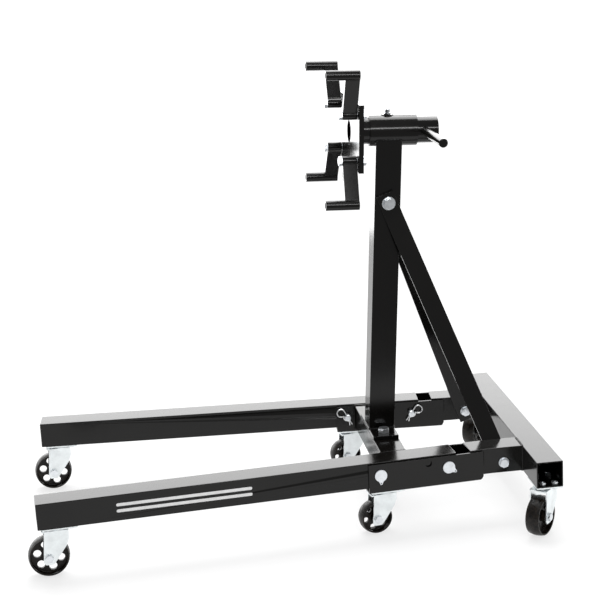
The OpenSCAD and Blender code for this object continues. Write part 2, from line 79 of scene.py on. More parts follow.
# Sizes that the looks share with the CAD model
TUBE_W = 60 * MM
TUBE_WALL = 3 * MM
TUBE_CORNER = 4.5 * MM          # outer radius of the tube's rolled corners
POST_LEAN = math.radians(3.6)
CHANNEL_OUT = 34.4 * MM         # from a leg's middle plane to its channel's outer face
CHANNEL_BACK = 82 * MM          # the channel's rear end, behind the pivot pin
STUB_BEND = 103 * MM            # where a rear stub turns straight back
SLEEVE_R = 35 * MM
SPINDLE_R = 30 * MM
PLATE_BACK = -76.5 * MM         # the mounting plate's rear face, along the sleeve
BOSS_R = 12.5 * MM
LOCK_BOLT_R = 4.9 * MM
LOCK_NUT_LOW = SLEEVE_R + 1.6 * MM
LOCK_NUT_HIGH = SLEEVE_R + 5.6 * MM
LOCK_HEAD_LOW = SLEEVE_R + 5.9 * MM
LOCK_HEAD_HIGH = SLEEVE_R + 14 * MM
ARM_TUBE_R = 11 * MM
ARM_LEN = 100 * MM
ARM_THICK = 15 * MM
AXLE_R = 5 * MM
WHEEL_W = 32 * MM
BETWEEN_CASTERS = 200 * MM      # X between the middle caster plates and the rear ones


# ---- Materials ----

def new_material(name):
    """A node material with a Principled shader, and its texture space in metres."""
    material = bpy.data.materials.new(name)
    material.use_nodes = True
    tree = material.node_tree
    shader = tree.nodes["Principled BSDF"]
    place = tree.nodes.new("ShaderNodeTexCoord").outputs["Object"]
    return material, tree, shader, place


def noise(tree, place, scale, detail, roughness=0.5):
    """Cloudy noise: scale is in cells per metre."""
    node = tree.nodes.new("ShaderNodeTexNoise")
    node.inputs["Scale"].default_value = scale
    node.inputs["Detail"].default_value = detail
    node.inputs["Roughness"].default_value = roughness
    tree.links.new(place, node.inputs["Vector"])
    return node.outputs["Fac"]


def ramp(tree, value, stops):
    """Maps a value to greys or colours: stops are (position, grey or colour)."""
    node = tree.nodes.new("ShaderNodeValToRGB")
    elements = node.color_ramp.elements
    while len(elements) < len(stops):
        elements.new(0.5)
    for element, (position, colour) in zip(elements, stops):
        grey = isinstance(colour, (int, float))
        rgb = (colour, colour, colour) if grey else colour
        element.position = position
        element.color = (*rgb, 1)
    tree.links.new(value, node.inputs["Fac"])
    return node.outputs["Color"]


def bump(tree, height, strength, distance, below=None):
    """Bump of a height, laid over another bump where one is given."""
    node = tree.nodes.new("ShaderNodeBump")
    node.inputs["Strength"].default_value = strength
    node.inputs["Distance"].default_value = distance
    tree.links.new(height, node.inputs["Height"])
    if below is not None:
        tree.links.new(below, node.inputs["Normal"])
    return node.outputs["Normal"]


def black_paint():
    """Gloss powder coat: nearly black, with fine orange peel and a slight haze."""
    material, tree, shader, place = new_material("gloss_black_paint")
    link = tree.links.new
    tint = ramp(tree, noise(tree, place, scale=9, detail=4),
                [(0.3, (0.0017, 0.0015, 0.0012)), (0.7, (0.0031, 0.0027, 0.0022))])
    link(tint, shader.inputs["Base Color"])
    haze = ramp(tree, noise(tree, place, scale=14, detail=6, roughness=0.6),
                [(0.25, 0.12), (0.75, 0.19)])
    link(haze, shader.inputs["Roughness"])
    wave = bump(tree, noise(tree, place, scale=22, detail=1), 0.10, 0.6 * MM)
    peel = bump(tree, noise(tree, place, scale=520, detail=2), 0.16, 0.12 * MM, wave)
    link(peel, shader.inputs["Normal"])
    shader.inputs["IOR"].default_value = 1.38
    return material


def zinc_plate(name, colour, dull, cloud):
    """Bright zinc plate: a tint in faint clouds, and a fine grain."""
    material, tree, shader, place = new_material(name)
    link = tree.links.new
    light = tuple(min(1.0, c * 1.05) for c in colour)
    dark = tuple(c * 0.84 for c in colour)
    tint = ramp(tree, noise(tree, place, scale=cloud, detail=5, roughness=0.6),
                [(0.3, dark), (0.7, light)])
    link(tint, shader.inputs["Base Color"])
    rough = ramp(tree, noise(tree, place, scale=260, detail=3, roughness=0.6),
                 [(0.3, dull), (0.7, dull + 0.13)])
    link(rough, shader.inputs["Roughness"])
    grain = bump(tree, noise(tree, place, scale=900, detail=2), 0.12, 0.1 * MM)
    link(grain, shader.inputs["Normal"])
    shader.inputs["Metallic"].default_value = 1.0
    return material


def wheel_plastic():
    """Moulded black plastic, mottled, faintly brown and uneven in its gloss."""
    material, tree, shader, place = new_material("wheel_black_plastic")
    link = tree.links.new
    tint = ramp(tree, noise(tree, place, scale=130, detail=5, roughness=0.65),
                [(0.40, (0.0016, 0.0015, 0.0014)), (0.66, (0.017, 0.012, 0.008))])
    link(tint, shader.inputs["Base Color"])
    rough = ramp(tree, noise(tree, place, scale=110, detail=4, roughness=0.6),
                 [(0.35, 0.2), (0.65, 0.5)])
    link(rough, shader.inputs["Roughness"])
    grain = bump(tree, noise(tree, place, scale=700, detail=3), 0.25, 0.15 * MM)
    link(grain, shader.inputs["Normal"])
    shader.inputs["IOR"].default_value = 1.32
    return material


def painted_race_shade():
    """Painted shade: a dark, faintly green ring in the gap of a swivel race, where the gap's
    shadow falls.
    """
    material, tree, shader, place = new_material("race_gap_painted_shade")
    tint = ramp(tree, noise(tree, place, scale=300, detail=3),
                [(0.3, (0.010, 0.012, 0.011)), (0.7, (0.035, 0.040, 0.036))])
    tree.links.new(tint, shader.inputs["Base Color"])
    shader.inputs["Roughness"].default_value = 0.4
    return material


def decal_white():
    """Printed white vinyl with a slightly uneven gloss."""
    material, tree, shader, place = new_material("white_vinyl")
    tint = ramp(tree, noise(tree, place, scale=60, detail=3), [(0.3, 0.78), (0.7, 0.86)])
    tree.links.new(tint, shader.inputs["Base Color"])
    rough = ramp(tree, noise(tree, place, scale=150, detail=3), [(0.3, 0.35), (0.7, 0.5)])
    tree.links.new(rough, shader.inputs["Roughness"])
    return material


PAINT = black_paint()
ZINC = zinc_plate("zinc_fastener", (0.80, 0.83, 0.86), dull=0.26, cloud=60)
ZINC_CASTER = zinc_plate("zinc_caster", (0.86, 0.90, 0.91), dull=0.28, cloud=35)
ZINC_WIRE = zinc_plate("zinc_wire", (0.82, 0.83, 0.84), dull=0.26, cloud=90)
PLASTIC = wheel_plastic()
RACE_SHADE_PAINT = painted_race_shade()
VINYL = decal_white()


# ---- Frames of reference ----

def axes_matrix(origin, x, y, z):
    """The matrix whose columns are these axes and this origin."""
    columns = Matrix((x, y, z)).transposed().to_4x4()
    return Matrix.Translation(origin) @ columns


def leg_frame(side_name):
    """Origin at the pivot pin, +X backwards along the leg and +Y outwards."""
    joint = JOINTS[f"leg_fold_{side_name}"]
    across = Vector(joint["axis"])
    outward = across * SIDES[side_name]
    along = Vector((across.y, -across.x, 0))
    return axes_matrix(joint["pos_m"], along, outward, UP)


def head_frame():
    """Origin where the sleeve's axis crosses the post, +X along the sleeve."""
    joint = JOINTS["head_turn"]
    along = Vector(joint["axis"])
    across = Vector((0, 1, 0))
    return axes_matrix(joint["pos_m"], along, across, along.cross(across))


def arm_frame(level, side_name):
    """Origin at the middle of an arm's pivot tube, +Z towards its finger."""
    joint = JOINTS[f"arm_{level}_{side_name}_swing"]
    mounts = {mount["name"]: mount for mount in frame["record"]["mounts"]}
    finger = Vector(mounts[f"engine_bolt_{level}_{side_name}"]["pos_m"])
    along = Vector(JOINTS["head_turn"]["axis"])
    reach = finger - Vector(joint["pos_m"])
    reach = (reach - along * reach.dot(along)).normalized()
    return axes_matrix(joint["pos_m"], along, reach.cross(along), reach)


# ---- Mesh tools ----

def welded_mesh(node):
    """A copy of a CAD node's mesh, whose faces share their corners."""
    bm = bmesh.new()
    bm.from_mesh(frame["nodes"][node].data)
    bmesh.ops.remove_doubles(bm, verts=bm.verts, dist=0.001 * MM)
    return bm


def cad_mesh(node):
    """A copy of a CAD node's mesh, with its flat faces made whole."""
    bm = welded_mesh(node)
    bmesh.ops.dissolve_limit(bm, angle_limit=math.radians(0.4), verts=bm.verts,
                             edges=bm.edges)
    return bm


def soften(bm, pick, width, segments):
    """Rounds the sharp edges that pick accepts."""
    sharp = math.radians(28)
    edges = [e for e in bm.edges
             if e.is_manifold and e.calc_face_angle(0) > sharp and pick(e)]
    if edges:
        bmesh.ops.bevel(bm, geom=edges, offset=width, segments=segments, profile=0.5,
                        affect="EDGES", clamp_overlap=True)


def turns(steps):
    """Evenly spaced angles round one full turn, in radians."""
    return [2 * math.pi * i / steps for i in range(steps)]


def lathe(profile, steps):
    """Turns a closed profile of (radius, z) points about Z."""
    bm = bmesh.new()
    rings = []
    for angle in turns(steps):
        rings.append([bm.verts.new((r * math.cos(angle), r * math.sin(angle), z))
                      for r, z in profile])
    count = len(profile)
    for i in range(steps):
        here, there = rings[i], rings[(i + 1) % steps]
        for k in range(count):
            after = (k + 1) % count
            bm.faces.new((here[k], there[k], there[after], here[after]))
    bmesh.ops.recalc_face_normals(bm, faces=bm.faces)
    return bm


def arc(centre, radius, start, end, steps):
    """Points round a centre in a plane, from one angle to another in degrees."""
    points = []
    for i in range(steps + 1):
        angle = math.radians(start + (end - start) * i / steps)
        points.append((centre[0] + radius * math.cos(angle),
                       centre[1] + radius * math.sin(angle)))
    return points


def resample(points, step, closed):
    """Points at an even spacing along a polyline."""
    line = points + [points[0]] if closed else points
    lengths = [0.0]
    for a, b in zip(line, line[1:]):
        lengths.append(lengths[-1] + (b - a).length)
    count = max(2, round(lengths[-1] / step))
    result, k = [], 0
    for i in range(count if closed else count + 1):
        target = lengths[-1] * i / count
        while k < len(line) - 2 and lengths[k + 1] < target:
            k += 1
        share = (target - lengths[k]) / max(1e-12, lengths[k + 1] - lengths[k])
        result.append(line[k].lerp(line[k + 1], min(1.0, share)))
    return result


def sweep(bm, points, radii, closed=False, sides=10):
    """A round tube along points, with its own radius at each of them."""
    count = len(points)
    normal = None
    rings = []
    for i, point in enumerate(points):
        before = points[i - 1] if closed or i > 0 else point
        after = points[(i + 1) % count] if closed or i < count - 1 else point
        tangent = (after - before).normalized()
        if normal is None:
            normal = tangent.orthogonal().normalized()
        normal = (normal - tangent * normal.dot(tangent)).normalized()
        other = tangent.cross(normal)
        rings.append([bm.verts.new(point + radii[i] * (
            normal * math.cos(angle) + other * math.sin(angle)))
            for angle in turns(sides)])
    spans = count if closed else count - 1
    shift = 0
    for i in range(spans):
        here, there = rings[i], rings[(i + 1) % count]
        if closed and i == spans - 1:
            shift = min(range(sides), key=lambda s: (there[s].co - here[0].co).length)
        for k in range(sides):
            bm.faces.new((here[k], here[(k + 1) % sides],
                          there[(k + 1 + shift) % sides], there[(k + shift) % sides]))
    if not closed:
        bm.faces.new(list(reversed(rings[0])))
        bm.faces.new(rings[-1])


def join(target, source):
    """Adds one mesh to another, and frees it."""
    mesh = bpy.data.meshes.new("joined")
    source.to_mesh(mesh)
    source.free()
    target.from_mesh(mesh)
    bpy.data.meshes.remove(mesh)


def moved(bm, matrix):
    """The mesh, carried to a place."""
    bmesh.ops.transform(bm, matrix=matrix, verts=bm.verts)
    if matrix.determinant() < 0:
        bmesh.ops.reverse_faces(bm, faces=bm.faces)
    return bm


def piece(name, bm, material, body, replaces=()):
    """Makes the mesh a piece of the object, riding on a CAD body."""
    mesh = bpy.data.meshes.new(name)
    bmesh.ops.recalc_face_normals(bm, faces=bm.faces)
    bm.to_mesh(mesh)
    bm.free()
    mesh.materials.append(material)
    mesh.shade_smooth()
    mesh.set_sharp_from_angle(angle=math.radians(32))
    made = bpy.data.objects.new(name, mesh)
    bpy.context.scene.collection.objects.link(made)
    even = made.modifiers.new("even_normals", "WEIGHTED_NORMAL")
    even.keep_sharp = True
    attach(made, body)
    if replaces:
        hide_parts(*replaces)


# ---- Square tube, channels and plates ----

def tube_piece(node):
    """Square tube with its rolled corners, and a broken edge round its ends and holes."""
    bm = cad_mesh(node)

    def is_corner(e):
        return e.calc_length() > 45 * MM

    soften(bm, lambda e: is_corner(e) and e.is_convex, TUBE_CORNER, 4)
    soften(bm, lambda e: is_corner(e) and not e.is_convex, TUBE_CORNER - TUBE_WALL, 3)
    soften(bm, lambda e: e.calc_length() <= 12 * MM, 0.35 * MM, 1)
    piece(node + "_shell", bm, PAINT, BODY_OF[node], [node])


def channel_piece(node):
    """Bent plate: round outside corners below, and broken edges elsewhere."""
    bm = cad_mesh(node)
    underside = min(v.co.z for v in bm.verts)

    def is_long(e):
        return e.calc_length() > 100 * MM

    def is_bend(e):
        return is_long(e) and all(v.co.z < underside + 0.1 * MM for v in e.verts)

    def is_inner_bend(e):
        return is_long(e) and not e.is_convex

    soften(bm, is_bend, 5 * MM, 4)
    soften(bm, is_inner_bend, 1.6 * MM, 3)
    soften(bm, lambda e: e.is_convex, 0.6 * MM, 2)
    piece(node + "_shell", bm, PAINT, BODY_OF[node], [node])


def plate_piece(node, material, width, segments=2):
    """A part whose CAD shape is right, with its edges broken."""
    bm = cad_mesh(node)
    soften(bm, lambda e: e.is_convex, width, segments)
    piece(node + "_shell", bm, material, BODY_OF[node], [node])


for tube in ("rear_crossbar", "mid_crossbar", "post", "leg_tube_left", "leg_tube_right",
             "rear_stub_left", "rear_stub_right"):
    tube_piece(tube)
for side_name in SIDES:
    channel_piece(f"side_channel_{side_name}")
    plate_piece(f"brace_{side_name}", PAINT, 1.2 * MM, 3)
for plate, edge in (("post_foot", 1.2), ("mounting_plate", 1.4), ("head_sleeve", 0.9),
                    ("lock_boss", 1.2), ("spindle", 0.9), ("turning_bar", 0.7)):
    plate_piece(plate, PAINT, edge * MM, 3)
for arm_level in LEVELS:
    for side_name in SIDES:
        plate_piece(f"arm_{arm_level}_{side_name}", PAINT, 0.7 * MM)


# ---- Bolts and nuts ----

HEAD_HEIGHT = 1.25              # of the thread's radius
NUT_HEIGHT = 1.6                # of the thread's radius
BOLT_TIP = 1.2 * MM             # how far a bolt shows past its nut
CASTER_GRIP = 6 * MM            # a caster plate and the wall of a square tube


def hex_radius(flats, angle):
    """Distance from the axis to the side of a hexagon, at an angle in radians."""
    return flats / 2 / math.cos((angle + math.pi / 6) % (math.pi / 3) - math.pi / 6)


def hex_block(flats, low, high, bore, cut_low, cut_high):
    """A hexagon with its ends turned to a 30 degree chamfer, and a bore if it is a nut."""
    bm = bmesh.new()
    steps = 72
    face_r = 0.475 * flats
    slope = math.tan(math.radians(30))
    plain = 0.02 * flats
    rings = []
    for angle in turns(steps):
        side_r = hex_radius(flats, angle)
        drop = (side_r - face_r) * slope
        outline = [(face_r if cut_low else side_r, low),
                   (side_r, low + (drop if cut_low else plain)),
                   (side_r, high - (drop if cut_high else plain)),
                   (face_r if cut_high else side_r, high)]
        if bore:
            outline = [(bore, low)] + outline + [(bore, high)]
        rings.append([bm.verts.new((r * math.cos(angle), r * math.sin(angle), z))
                      for r, z in outline])
    count = len(rings[0])
    for i in range(steps):
        here, there = rings[i], rings[(i + 1) % steps]
        for k in range(count if bore else count - 1):
            after = (k + 1) % count
            bm.faces.new((here[k], there[k], there[after], here[after]))
    if not bore:
        bm.faces.new([ring[0] for ring in reversed(rings)])
        bm.faces.new([ring[-1] for ring in rings])
    bmesh.ops.recalc_face_normals(bm, faces=bm.faces)
    return bm


def threaded_rod(r, low, high, thread_high, pitch):
    """A rod with a pointed low end and a helical thread from there up to thread_high."""
    bm = bmesh.new()
    steps = 24
    per_turn = 6
    depth = 0.55 * pitch
    point = 0.8 * MM
    rows = max(2, round((thread_high - low) / pitch * per_turn))
    levels = [low + (thread_high - low) * i / rows for i in range(rows + 1)] + [high]
    rings = []
    for z in levels:
        ring = []
        for i in range(steps):
            turn = i / steps
            phase = (z / pitch - turn) % 1
            groove = depth * abs(2 * phase - 1) if z < thread_high - 1e-9 else 0
            radius = r - max(groove, point - (z - low))
            angle = 2 * math.pi * turn
            ring.append(bm.verts.new((radius * math.cos(angle), radius * math.sin(angle), z)))
        rings.append(ring)
    for here, there in zip(rings, rings[1:]):
        for i in range(steps):
            after = (i + 1) % steps
            bm.faces.new((here[i], here[after], there[after], there[i]))
    bm.faces.new(list(reversed(rings[0])))
    bm.faces.new(rings[-1])
    return bm


def washer(inner, outer, low, high):
    """A flat ring whose outer edges are broken."""
    edge = min(0.4 * MM, (high - low) / 3)
    return lathe([(inner, low), (outer - edge, low), (outer, low + edge),
                  (outer, high - edge), (outer - edge, high), (inner, high)], 64)


def bolt(r, grip, flats, washer_r=0.0, washer_t=0.0):
    """A bolt along Z that grips from 0 up to grip, with its head above and nut below."""
    head = HEAD_HEIGHT * r
    nut = NUT_HEIGHT * r
    bm = threaded_rod(r, -washer_t - nut - BOLT_TIP, grip + washer_t, 0.0, 0.22 * r)
    join(bm, hex_block(flats, grip + washer_t, grip + washer_t + head, 0, False, True))
    join(bm, hex_block(flats, -washer_t - nut, -washer_t, r * 0.97, True, True))
    if washer_t:
        join(bm, washer(r * 0.98, washer_r, grip, grip + washer_t))
        join(bm, washer(r * 0.98, washer_r, -washer_t, 0))
    return bm


def islands(node):
    """The loose parts of a CAD node, each as a list of points."""
    bm = welded_mesh(node)
    left = set(bm.verts)
    found = []
    while left:
        todo = [left.pop()]
        part = []
        while todo:
            vert = todo.pop()
            part.append(vert.co.copy())
            for e in vert.link_edges:
                other = e.other_vert(vert)
                if other in left:
                    left.remove(other)
                    todo.append(other)
        found.append(part)
    bm.free()
    return found


def bolt_places(node, up, r, washer_t):
    """For each bolt of a CAD node: the matrix at the foot of its grip, +Z to its head."""
    side = up.orthogonal().normalized()
    across = up.cross(side)
    spans = []
    for part in islands(node):
        along = [p.dot(up) for p in part]
        middle = Vector()
        for axis in (side, across):
            reach = [p.dot(axis) for p in part]
            middle += axis * (max(reach) + min(reach)) / 2
        spans.append((max(along) - min(along), min(along), middle))
    longest = max(span[0] for span in spans)
    nut_end = washer_t + NUT_HEIGHT * r + BOLT_TIP
    return [axes_matrix(middle + up * (low + nut_end), side, across, up)
            for length, low, middle in spans if length > 0.7 * longest]


def bolts_of(node, up, r, grip, flats, washer_r=0.0, washer_t=0.0, keep=None):
    """The bolts of a CAD node whose heads point one way, as one mesh."""
    bm = bmesh.new()
    for matrix in bolt_places(node, up, r, washer_t):
        if keep is None or keep(matrix.translation):
            join(bm, moved(bolt(r, grip, flats, washer_r, washer_t), matrix))
    return bm


def bolt_set(name, bm, body, node):
    """Makes bolts a zinc plated piece that stands for a CAD node."""
    piece(name, bm, ZINC, body, [node])


def frame_bolts():
    """The bolts through the post's foot, the braces and the mounting plate."""
    foot = bolts_of("post_foot_bolts", UP, r=8 * MM, grip=TUBE_W + 8 * MM, flats=24 * MM)
    bolt_set("post_foot_bolt_set", foot, "base", "post_foot_bolts")
    top = bolts_of("brace_top_bolt", Vector((0, -1, 0)), r=7 * MM, grip=76 * MM,
                   flats=22 * MM, washer_r=15.5 * MM, washer_t=2 * MM)
    bolt_set("brace_top_bolt_set", top, "base", "brace_top_bolt")
    pair = bmesh.new()
    for side in SIDES.values():
        join(pair, bolts_of("brace_foot_bolts", Vector((0, side, 0)), r=6 * MM,
                            grip=TUBE_W + 8 * MM, flats=19 * MM, washer_r=12 * MM,
                            washer_t=2 * MM, keep=lambda p, s=side: p.y * s > 0))
    bolt_set("brace_foot_bolt_set", pair, "base", "brace_foot_bolts")
    forward = -Vector(JOINTS["head_turn"]["axis"])
    pivots = bolts_of("arm_pivot_bolts", forward, r=6 * MM, grip=44.6 * MM, flats=19 * MM)
    bolt_set("arm_pivot_bolt_set", pivots, "head", "arm_pivot_bolts")


def small_bolts(node, grip, keep=None):
    """The caster plates' bolts, which have their heads below."""
    return bolts_of(node, DOWN, r=4 * MM, grip=grip, flats=13 * MM, keep=keep)


def caster_bolts():
    """The bolts of all six caster plates. The channels are 1 mm thicker than the tube."""
    both = small_bolts("base_caster_bolts", CASTER_GRIP, lambda p: p.x > BETWEEN_CASTERS)
    join(both, small_bolts("base_caster_bolts", CASTER_GRIP + MM,
                           lambda p: p.x < BETWEEN_CASTERS))
    bolt_set("base_caster_bolt_set", both, "base", "base_caster_bolts")
    for side_name in SIDES:
        node = f"leg_caster_bolts_{side_name}"
        bolt_set(f"leg_caster_bolt_set_{side_name}", small_bolts(node, CASTER_GRIP),
                 f"leg_{side_name}", node)


def lock_bolt_and_nut():
    """The small bolt that stands on the sleeve's boss, and its jam nut."""
    head = head_frame()
    screw = threaded_rod(LOCK_BOLT_R, SPINDLE_R + 0.4 * MM, LOCK_HEAD_LOW + 1.1 * MM,
                         LOCK_HEAD_LOW + MM, 1.1 * MM)
    join(screw, hex_block(10.5 * MM, LOCK_HEAD_LOW, LOCK_HEAD_HIGH, 0, True, True))
    bolt_set("lock_screw", moved(screw, head), "lock_bolt", "lock_bolt")
    nut = hex_block(15 * MM, LOCK_NUT_LOW, LOCK_NUT_HIGH, LOCK_BOLT_R + 0.08 * MM, True, True)
    bolt_set("lock_jam_nut", moved(nut, head), "base", "lock_nut")


frame_bolts()
caster_bolts()
lock_bolt_and_nut()


# ---- Casters ----

# The six holes of a wheel: their radius, their distance from the axle, and how far they
# are turned from the CAD wheel's own zero, in degrees
BIG_HOLES = (8.9 * MM, 26 * MM, 45)
SMALL_HOLES = (6.2 * MM, 24 * MM, 12)
HUB_HALF = 17.5 * MM
NUT_REACH = 21 * MM             # from the wheel's middle plane to the axle's nut


def wheel_mesh(radius):
    """A wheel's turned shape: gently crowned tread, thin web and a hub with its bore."""
    half_width = WHEEL_W / 2
    web = 3 * MM
    rim = radius - 6 * MM
    hub = 12 * MM
    crown = 2.4 * MM
    corner = 1.3 * MM
    hub_edge = 1.2 * MM
    hub_root = 2 * MM
    rim_root = 2.5 * MM
    rim_edge = 0.8 * MM
    half = [(AXLE_R + 0.08 * MM, HUB_HALF), (hub - hub_edge, HUB_HALF)]
    half += arc((hub - hub_edge, HUB_HALF - hub_edge), hub_edge, 90, 0, 4)
    half += arc((hub + hub_root, web + hub_root), hub_root, 180, 270, 4)
    half += arc((rim - rim_root, web + rim_root), rim_root, 270, 360, 4)
    half += arc((rim + rim_edge, half_width - rim_edge), rim_edge, 180, 90, 4)
    edge = half_width - corner
    half += arc((radius - crown - corner, edge), corner, 85, 5, 5)
    half += [(radius - crown * (1 - i / 6) ** 2, edge * (1 - i / 6) - 0.3 * MM * (i < 6))
             for i in range(7)]
    profile = half + [(r, -z) for r, z in reversed(half[:-1])]
    return lathe(profile, 120)


def drilled(bm, hole_r, hole_at, turn):
    """Cuts the six holes through a wheel's web and rounds their rims."""
    angles = [math.radians(60 * i + turn) for i in range(6)]
    centres = [Vector((hole_at * math.cos(a), hole_at * math.sin(a), 0)) for a in angles]
    mesh = bpy.data.meshes.new("wheel_blank")
    bm.to_mesh(mesh)
    bm.free()
    blank = bpy.data.objects.new("wheel_blank", mesh)
    cutter_mesh = bmesh.new()
    for centre in centres:
        bmesh.ops.create_cone(cutter_mesh, cap_ends=True, segments=48, radius1=hole_r,
                              radius2=hole_r, depth=WHEEL_W * 2,
                              matrix=Matrix.Translation(centre))
    cut = bpy.data.meshes.new("wheel_cutter")
    cutter_mesh.to_mesh(cut)
    cutter_mesh.free()
    cutter = bpy.data.objects.new("wheel_cutter", cut)
    for made in (blank, cutter):
        bpy.context.scene.collection.objects.link(made)
    drill = blank.modifiers.new("holes", "BOOLEAN")
    drill.operation = "DIFFERENCE"
    drill.solver = "EXACT"
    drill.object = cutter
    depsgraph = bpy.context.evaluated_depsgraph_get()
    result = bmesh.new()
    result.from_object(blank, depsgraph)
    for made in (blank, cutter):
        bpy.data.objects.remove(made)

    def on_rim(e):
        return all(any(abs((v.co - centre).xy.length - hole_r) < 0.05 * MM
                       for centre in centres) for v in e.verts)

    soften(result, on_rim, 0.7 * MM, 2)
    return result


def caster(name, side_name):
    """One caster's fork, axle and wheel, from the places of its two joints."""
    ident = f"{name}_{side_name}"
    roll = JOINTS[f"roll_{ident}"]
    axle_at = roll["pos_m"]
    across = Vector(roll["axis"])
    hole_r, hole_at, turn = SMALL_HOLES if name == "mid" else BIG_HOLES
    wheel = drilled(wheel_mesh(axle_at[2]), hole_r, hole_at, 180 - turn)
    place = axes_matrix(axle_at, across.cross(UP) * -1, UP, across * -1)
    piece(f"wheel_{ident}_moulding", moved(wheel, place), PLASTIC, f"wheel_{ident}",
          [f"wheel_{ident}"])
    axle = bolt(AXLE_R, 2 * NUT_REACH, 16 * MM)
    bmesh.ops.translate(axle, verts=axle.verts, vec=(0, 0, -NUT_REACH))
    axle_place = axes_matrix(axle_at, UP, across.cross(UP), across * -1)
    bolt_set(f"axle_{ident}_bolt", moved(axle, axle_place), f"fork_{ident}", f"axle_{ident}")
    plate_piece(f"fork_{ident}", ZINC_CASTER, 0.9 * MM)
    swivel = Vector(JOINTS[f"swivel_{ident}"]["pos_m"])
    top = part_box(f"fork_{ident}")[1].z
    # A dark ring in the gap between the plate's race and the fork: painted shade for the
    # shadow in that gap.
    race = lathe(arc((19.9 * MM, 0.1 * MM), 1.0 * MM, 0, 360, 11)[:-1], 72)
    bmesh.ops.translate(race, verts=race.verts, vec=(swivel.x, swivel.y, top))
    piece(f"race_{ident}_gap_shade", race, RACE_SHADE_PAINT, f"fork_{ident}")


for caster_name in CASTERS:
    for side_name in SIDES:
        caster(caster_name, side_name)
for plates in ("rear_caster_plates", "mid_caster_plates", "leg_caster_plate_left",
               "leg_caster_plate_right"):
    plate_piece(plates, ZINC_CASTER, 0.7 * MM)


# ---- Hitch pins and their clips ----

CLIP_AT = CHANNEL_OUT + 7 * MM  # from the leg's middle plane, inwards
CLIP_WIRE = 1.5 * MM            # the wire's radius
# How far each kind of pin's clip is turned, in degrees, and which way up it is
CLIP_TURNS = {"lock": (118, 1), "pivot": (55, -1)}


def clip_line(flip):
    """A hairpin clip: a leg through the pin, a round eye, and a leg that hugs the pin."""
    eye = (17.5 * MM, 9.5 * MM)
    eye_r = 10 * MM
    points = [(-22 * MM, 0.0), (6 * MM, 0.0)]
    points += arc(eye, eye_r, -72, 190, 18)
    points += [(5.2 * MM, 8.0 * MM), (3.2 * MM, 10.2 * MM), (0.0, 10.6 * MM),
               (-3.4 * MM, 10.0 * MM), (-6.5 * MM, 7.2 * MM), (-10 * MM, 3.0 * MM),
               (-13 * MM, 2.6 * MM), (-21 * MM, 6.5 * MM)]
    return [Vector((x, 0.0, z * flip)) for x, z in points]


def rounded(points, passes):
    """Cuts the corners of a polyline, again and again."""
    for _ in range(passes):
        line = [points[0]]
        for a, b in zip(points, points[1:]):
            line += [a.lerp(b, 0.25), a.lerp(b, 0.75)]
        points = line + [points[-1]]
    return points


def pin_and_clip(kind, side_name):
    """A hitch pin with its inner end rounded, and the hairpin clip through it."""
    ident = f"{kind}_pin_{side_name}"
    leg = leg_frame(side_name)
    bm = cad_mesh(ident)
    inward = -leg.col[1].to_3d()
    inner_end = max(v.co.dot(inward) for v in bm.verts)
    soften(bm, lambda e: all(v.co.dot(inward) > inner_end - 0.1 * MM for v in e.verts),
           2.2 * MM, 4)
    soften(bm, lambda e: e.is_convex, 0.5 * MM, 2)
    piece(ident + "_steel", bm, ZINC, ident, [ident])
    turn, flip = CLIP_TURNS[kind]
    pin_at = leg.inverted() @ Vector(JOINTS[ident + "_turn"]["pos_m"])
    local = leg @ Matrix.Translation(pin_at) @ Matrix.Translation((0, -CLIP_AT, 0))
    local = local @ Matrix.Rotation(math.radians(-turn), 4, "Y")
    wire = bmesh.new()
    path = resample(rounded(clip_line(flip), 2), 0.9 * MM, False)
    radii = [CLIP_WIRE] * len(path)
    radii[0] = radii[-1] = CLIP_WIRE * 0.7
    sweep(wire, path, radii)
    piece(f"{kind}_clip_{side_name}_wire", moved(wire, local), ZINC_WIRE, ident,
          [f"{kind}_clip_{side_name}"])


for pin_kind in CLIP_TURNS:
    for side_name in SIDES:
        pin_and_clip(pin_kind, side_name)


# ---- Welds ----

rng = random.Random(7)


def bead(bm, points, closed, radius=2.6 * MM, pitch=3.4 * MM):
    """A weld bead: a tube whose ripples follow each other at the given pitch."""
    per_ripple = 5
    path = resample(points, pitch / per_ripple, closed)
    radii = []
    for i in range(len(path)):
        ripple = 0.10 * math.cos(2 * math.pi * i / per_ripple)
        radii.append(radius * (1 + ripple + rng.uniform(-0.04, 0.04)))
    sweep(bm, path, radii, closed, 8)


def loop_round(width, depth, corner):
    """A rounded rectangle about the origin, as (x, y) points."""
    points = []
    for k, (sx, sy) in enumerate(((1, 1), (-1, 1), (-1, -1), (1, -1))):
        centre = (sx * (width / 2 - corner), sy * (depth / 2 - corner))
        points += arc(centre, corner, 90 * k, 90 * k + 90, 4)
    return points


def post_welds():
    """Round the foot of the post, and where its top is cut to the sleeve."""
    bm = bmesh.new()
    foot_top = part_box("post_foot")[1].z
    outline = loop_round(TUBE_W / math.cos(POST_LEAN), TUBE_W, TUBE_CORNER)
    bead(bm, [Vector((x, y, foot_top)) for x, y in outline], True)
    head = head_frame()
    saddle = [head @ Vector((x, y, -math.sqrt(SLEEVE_R ** 2 - y ** 2)))
              for x, y in loop_round(TUBE_W, TUBE_W, TUBE_CORNER)]
    bead(bm, saddle, True)
    piece("post_welds", bm, PAINT, "base")


